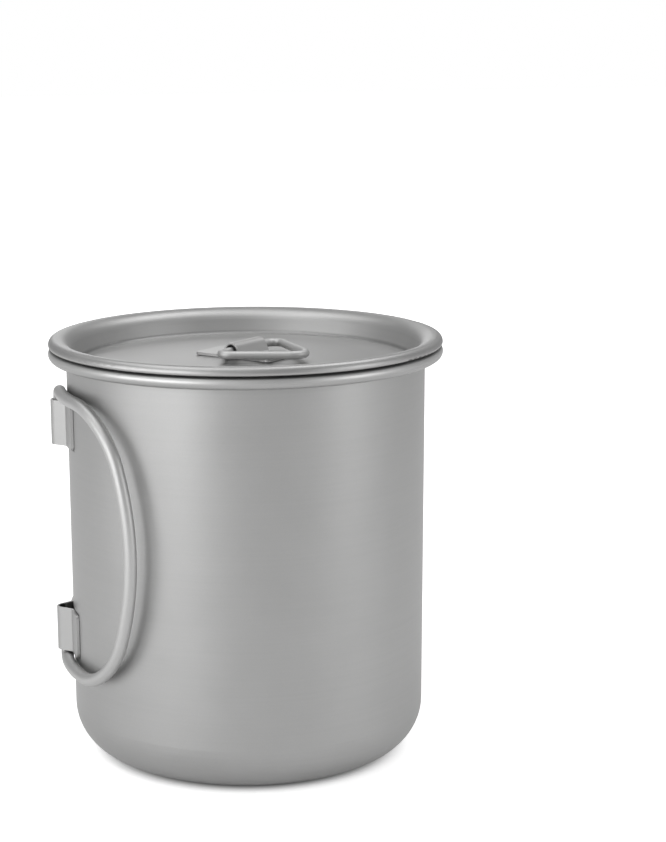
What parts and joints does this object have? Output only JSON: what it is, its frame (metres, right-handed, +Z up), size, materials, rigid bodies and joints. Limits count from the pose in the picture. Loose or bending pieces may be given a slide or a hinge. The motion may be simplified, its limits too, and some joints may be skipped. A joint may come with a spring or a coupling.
{
  "type": "camping cook pot",
  "caption": "Small titanium camping cook pot with a dished lid, a wire handle that folds round the wall in strap brackets, and a wire ring that folds flat in the lid",
  "frame": {"origin": "middle of the flat base, on the ground", "axes": "+Z up through the middle of the lid; the handle's hinge stands on -X and the folded handle lies round the wall towards -Y"},
  "size_m": [0.086, 0.086, 0.093],
  "materials": {
    "titanium_sheet": "fine bead-blasted matte",
    "titanium_wire": "satin, drawn wire"
  },
  "bodies": {
    "pot": {"pot_body": "titanium_sheet", "upper_handle_bracket": "titanium_sheet", "lower_handle_bracket": "titanium_sheet"},
    "handle": {"folding_handle": "titanium_wire"},
    "lid": {"lid": "titanium_sheet", "lid_ring_bracket": "titanium_sheet"},
    "ring": {"lid_ring": "titanium_wire"}
  },
  "joints": [
    {"name": "handle_swing", "type": "hinge", "parent": "pot", "child": "handle", "pos_m": [-0.0407, 0, 0.05155], "axis": [0, 0, -1], "range_deg": [0, 175]},
    {"name": "lid_lift", "type": "slide", "parent": "pot", "child": "lid", "axis": [0, 0, 1], "range_m": [0, 0.06]},
    {"name": "ring_fold", "type": "hinge", "parent": "lid", "child": "ring", "pos_m": [0, 0, 0.08995], "axis": [-0.6691, -0.7431, 0], "range_deg": [0, 180]}
  ]
}
